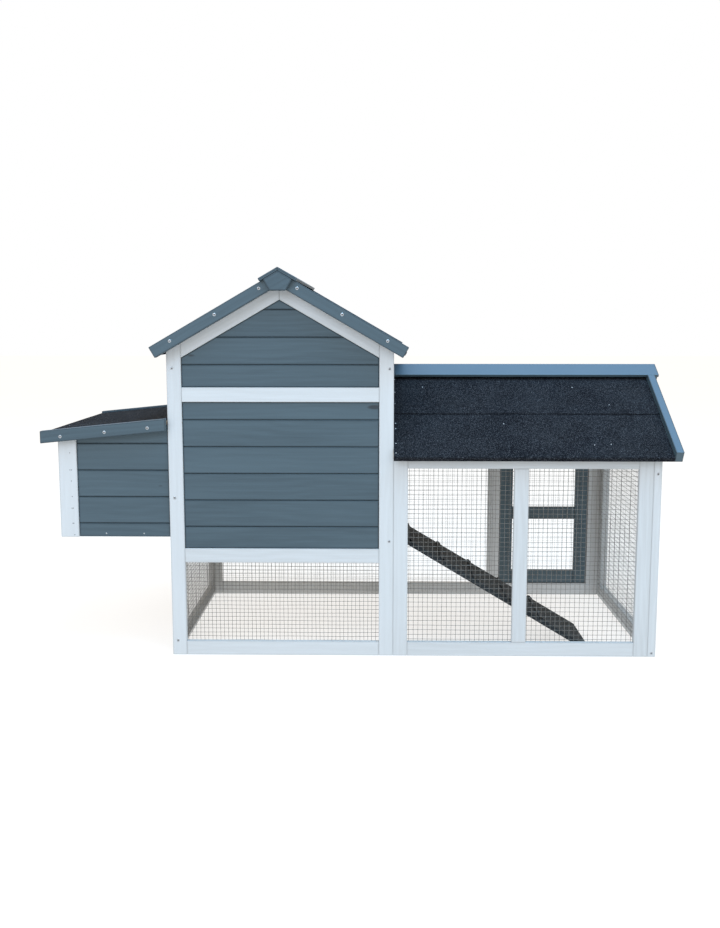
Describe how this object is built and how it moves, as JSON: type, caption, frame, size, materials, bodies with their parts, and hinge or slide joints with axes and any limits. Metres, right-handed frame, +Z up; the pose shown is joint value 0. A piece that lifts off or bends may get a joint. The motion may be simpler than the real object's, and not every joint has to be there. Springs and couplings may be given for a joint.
{
  "type": "chicken coop",
  "caption": "Timber chicken coop: gabled shiplap house over a mesh base, hinged-lid nest box on one side, felt-roofed wire run with ramp and back door on the other.",
  "frame": {"origin": "on the ground, under the middle of the whole coop's box", "axes": "+X from the nest box to the run, along the coop; +Y from the front to the back; +Z up"},
  "size_m": [1.989, 0.888, 1.214],
  "materials": {
    "white_wood": "white paint, matt, grain showing faintly",
    "slate_wood": "slate blue-grey stain, satin",
    "roofing_felt": "mineral-faced bitumen roofing felt",
    "wire_mesh": "galvanised welded wire",
    "zinc_steel": "zinc plated",
    "plywood": "bare plywood and fir",
    "tray_steel": "galvanised sheet"
  },
  "bodies": {
    "coop": {"house_corner_posts": "white_wood", "house_rafters": "white_wood", "house_gable_rails": "white_wood", "house_front_boards": "slate_wood", "house_back_boards": "slate_wood", "house_side_stiles": "white_wood", "house_side_rails": "white_wood", "house_left_boards": "slate_wood", "house_right_boards": "slate_wood", "house_floor": "plywood", "house_floor_bearers": "white_wood", "house_mesh": "wire_mesh", "run_stiles": "white_wood", "run_rails": "white_wood", "run_corner_strips": "white_wood", "run_end_stiles": "white_wood", "run_end_rafters": "white_wood", "run_wall_rafters": "white_wood", "run_end_rails": "white_wood", "run_mesh": "wire_mesh", "house_roof_panels": "plywood", "house_roof_felt": "roofing_felt", "house_barge_boards": "slate_wood", "ridge_caps": "slate_wood", "ridge_end_plates": "slate_wood", "run_roof_panels": "plywood", "run_roof_felt": "roofing_felt", "run_barge_boards": "slate_wood", "ramp_board": "slate_wood", "ramp_cleats": "slate_wood", "nest_posts": "white_wood", "nest_front_boards": "slate_wood", "nest_back_boards": "slate_wood", "nest_end_boards": "slate_wood", "nest_floor": "plywood", "nest_dividers": "plywood", "hinge_fixed_leaves": "zinc_steel", "hinge_pins": "zinc_steel", "pop_door_runners": "plywood", "button_screws": "zinc_steel", "frame_screws": "zinc_steel"},
    "nest_lid": {"nest_lid_panel": "plywood", "nest_lid_felt": "roofing_felt", "nest_lid_fascias": "slate_wood", "nest_lid_hinge_leaves": "zinc_steel", "nest_lid_screws": "zinc_steel"},
    "run_door": {"run_door_frame": "slate_wood", "run_door_mesh": "wire_mesh", "run_door_hinge_leaves": "zinc_steel"},
    "house_door": {"house_door_frame": "white_wood", "house_door_boards": "slate_wood", "house_door_hinge_leaves": "zinc_steel"},
    "tray": {"tray_pan": "tray_steel", "tray_front": "slate_wood", "tray_handle": "white_wood"},
    "pop_door": {"pop_door": "slate_wood"},
    "run_door_button": {"run_door_button": "white_wood"},
    "house_door_button": {"house_door_button": "white_wood"}
  },
  "joints": [
    {"name": "nest_lid_hinge", "type": "hinge", "parent": "coop", "child": "nest_lid", "pos_m": [-0.60625, 0, 0.7538], "axis": [0, 1, 0], "range_deg": [0, 75]},
    {"name": "run_door_hinge", "type": "hinge", "parent": "coop", "child": "run_door", "pos_m": [0.8565, 0.394, 0.3], "axis": [0, 0, -1], "range_deg": [0, 110]},
    {"name": "house_door_hinge", "type": "hinge", "parent": "coop", "child": "house_door", "pos_m": [-0.5565, 0.394, 0.6], "axis": [0, 0, 1], "range_deg": [0, 110]},
    {"name": "tray_slide", "type": "slide", "parent": "coop", "child": "tray", "axis": [0, 1, 0], "range_m": [0, 0.6]},
    {"name": "pop_door_slide", "type": "slide", "parent": "coop", "child": "pop_door", "axis": [0, -1, 0], "range_m": [0, 0.28]},
    {"name": "run_door_button_turn", "type": "hinge", "parent": "coop", "child": "run_door_button", "pos_m": [0.495, 0.3945, 0.3], "axis": [0, 1, 0], "range_deg": [0, 90]},
    {"name": "house_door_button_turn", "type": "hinge", "parent": "coop", "child": "house_door_button", "pos_m": [0.075, 0.3945, 0.725], "axis": [0, 1, 0], "range_deg": [0, 90]}
  ]
}
